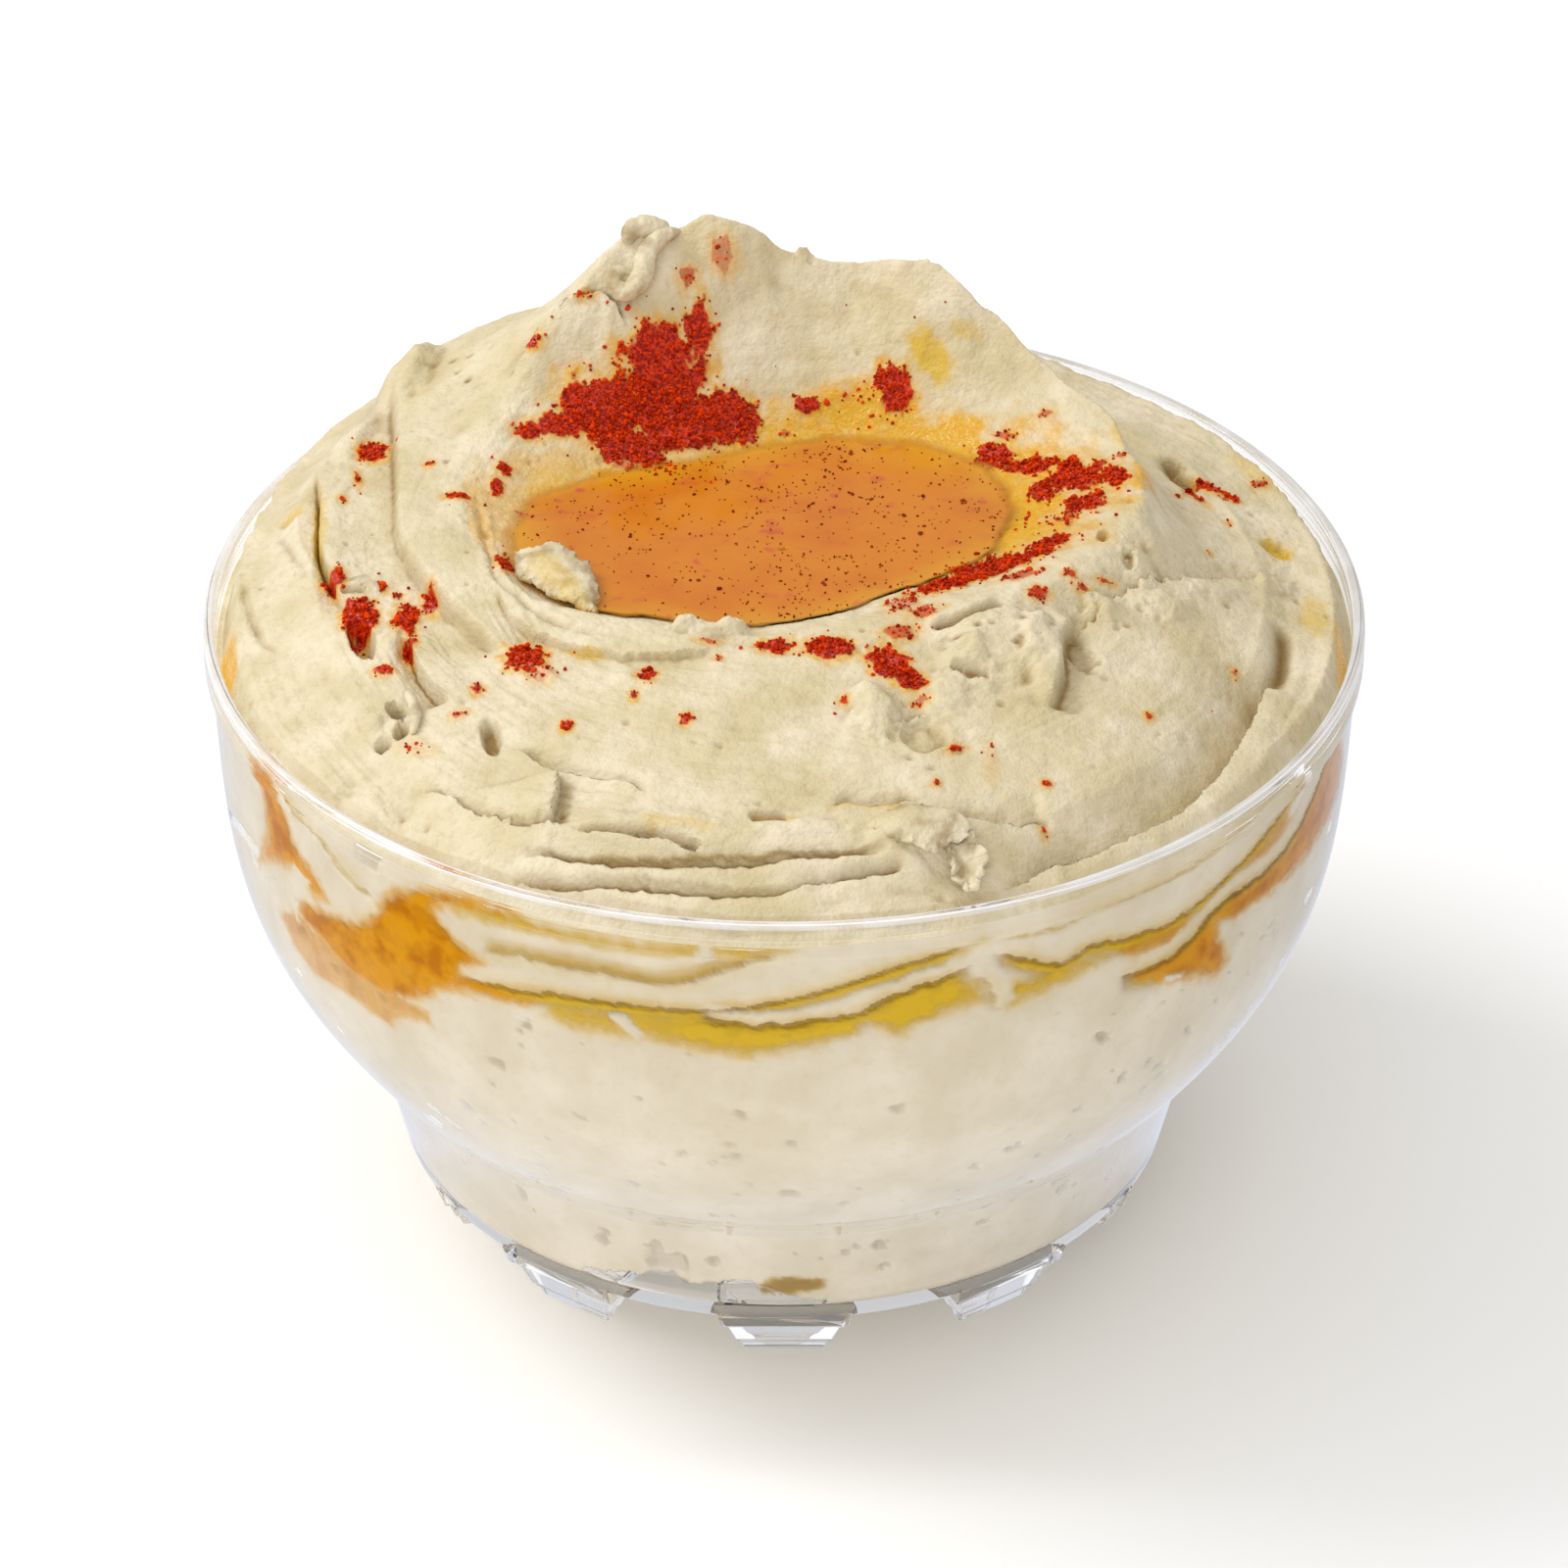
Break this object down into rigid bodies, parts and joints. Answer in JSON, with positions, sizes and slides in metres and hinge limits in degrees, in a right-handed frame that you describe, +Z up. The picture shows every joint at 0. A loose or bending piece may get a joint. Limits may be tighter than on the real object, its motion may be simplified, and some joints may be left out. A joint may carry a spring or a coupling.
{
  "type": "hummus in a bowl",
  "caption": "Hummus swirled into a clear footed bowl, heaped over the rim, with oil pooled in its crater and trapped against the wall.",
  "frame": {"origin": "on the ground under the middle of the bowl, level with the undersides of its feet", "axes": "+Z up along the bowl's axis; the low lip of the crater faces -Y and the high back wall of the swirl is on the +Y side"},
  "size_m": [0.1252, 0.1252, 0.0996],
  "materials": {
    "clear_plastic": "clear moulded plastic, polished",
    "hummus": "thick chickpea paste, fine grain, slightly moist",
    "spiced_oil": "orange spiced oil, wet, with fine specks",
    "golden_oil": "golden to amber oil, wet",
    "paprika": "coarse red powder"
  },
  "bodies": {
    "root": {"bowl": "clear_plastic", "hummus": "hummus", "oil_pool": "spiced_oil", "wall_oil": "golden_oil"}
  },
  "joints": []
}
